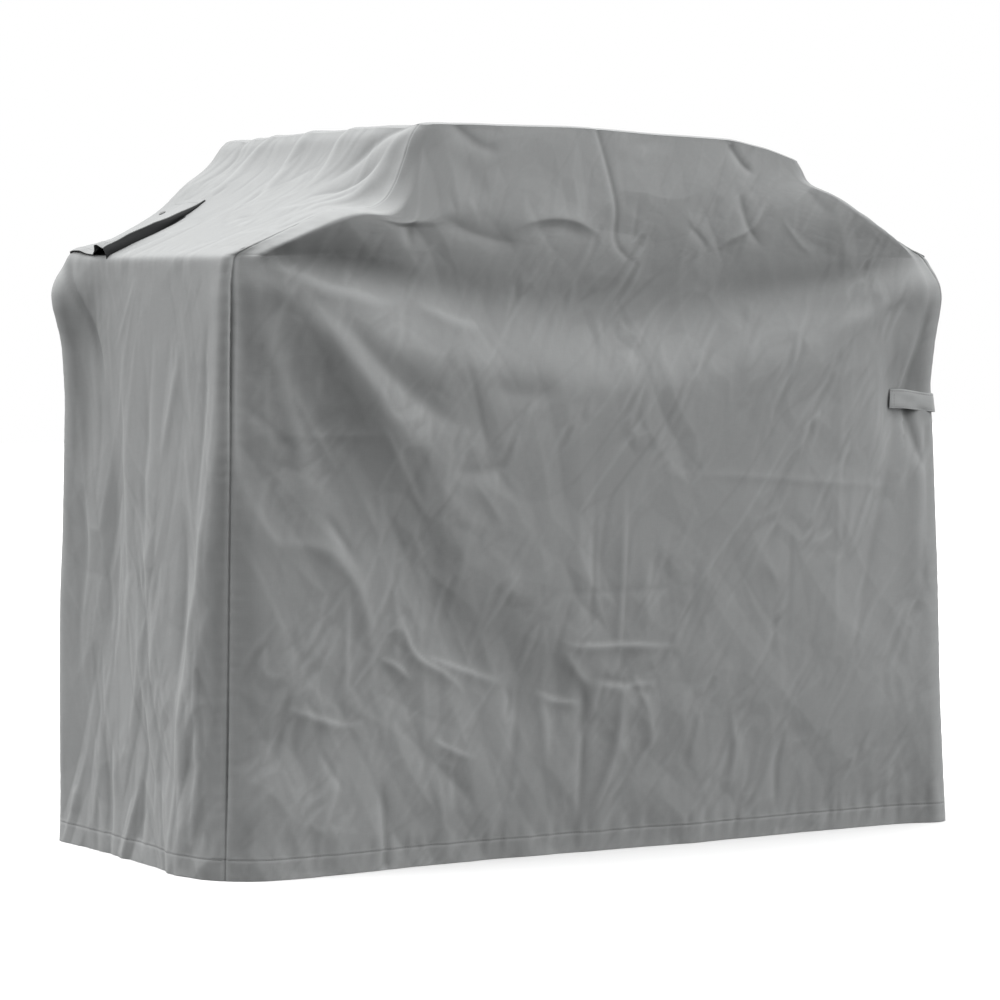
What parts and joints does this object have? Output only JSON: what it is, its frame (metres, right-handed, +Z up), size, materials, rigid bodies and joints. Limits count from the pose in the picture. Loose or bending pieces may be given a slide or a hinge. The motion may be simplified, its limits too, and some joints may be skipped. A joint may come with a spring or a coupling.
{
  "type": "grill cover",
  "caption": "Fitted cloth cover for a cart grill, with a raised hood section, hollow sloping shoulders, a flared skirt with a turned hem, hooded air vents and hook-and-loop straps.",
  "frame": {"origin": "on the floor, under the middle of the cover", "axes": "+X to the right along the cover's length, +Y to the back, +Z up; the front panel faces -Y"},
  "size_m": [1.31, 0.6324, 1.085],
  "materials": {
    "cover_cloth": "matte coated plain weave",
    "strap_cloth": "matte woven strap",
    "hook_and_loop": "hook and loop tape",
    "seam_binding": "matte tape",
    "vent_mesh": "open mesh",
    "vent_stud": "moulded"
  },
  "bodies": {
    "cover": {"front_panel": "cover_cloth", "back_panel": "cover_cloth", "left_side_panel": "cover_cloth", "right_side_panel": "cover_cloth", "top_panel": "cover_cloth", "front_hem": "cover_cloth", "back_hem": "cover_cloth", "left_hem": "cover_cloth", "right_hem": "cover_cloth", "front_seam_binding": "seam_binding", "back_seam_binding": "seam_binding", "left_rim_binding": "seam_binding", "right_rim_binding": "seam_binding", "left_vent_near_gusset": "cover_cloth", "left_vent_far_gusset": "cover_cloth", "left_vent_mesh": "vent_mesh", "right_vent_near_gusset": "cover_cloth", "right_vent_far_gusset": "cover_cloth", "right_vent_mesh": "vent_mesh", "front_right_strap_base": "strap_cloth", "front_right_strap_loop_tape": "hook_and_loop", "back_right_strap_base": "strap_cloth", "back_right_strap_loop_tape": "hook_and_loop"},
    "front_right_strap": {"front_right_strap_tab": "strap_cloth", "front_right_strap_hook_tape": "hook_and_loop"},
    "back_right_strap": {"back_right_strap_tab": "strap_cloth", "back_right_strap_hook_tape": "hook_and_loop"},
    "left_vent": {"left_vent_flap": "cover_cloth", "left_vent_stud": "vent_stud"},
    "right_vent": {"right_vent_flap": "cover_cloth", "right_vent_stud": "vent_stud"}
  },
  "joints": [
    {"name": "front_right_strap_peel", "type": "hinge", "parent": "cover", "child": "front_right_strap", "pos_m": [0.63816, -0.26546, 0.67], "axis": [0, 0, 1], "range_deg": [0, 150]},
    {"name": "back_right_strap_peel", "type": "hinge", "parent": "cover", "child": "back_right_strap", "pos_m": [0.63816, 0.26546, 0.67], "axis": [0, 0, -1], "range_deg": [0, 150]},
    {"name": "left_vent_lift", "type": "hinge", "parent": "cover", "child": "left_vent", "pos_m": [-0.43543, 0.19, 0.9949], "axis": [0, 1, 0], "range_deg": [0, 4], "deforming": ["left_vent_near_gusset", "left_vent_far_gusset"]},
    {"name": "right_vent_lift", "type": "hinge", "parent": "cover", "child": "right_vent", "pos_m": [0.43543, -0.19, 0.9949], "axis": [0, -1, 0], "range_deg": [0, 4], "deforming": ["right_vent_near_gusset", "right_vent_far_gusset"]}
  ]
}
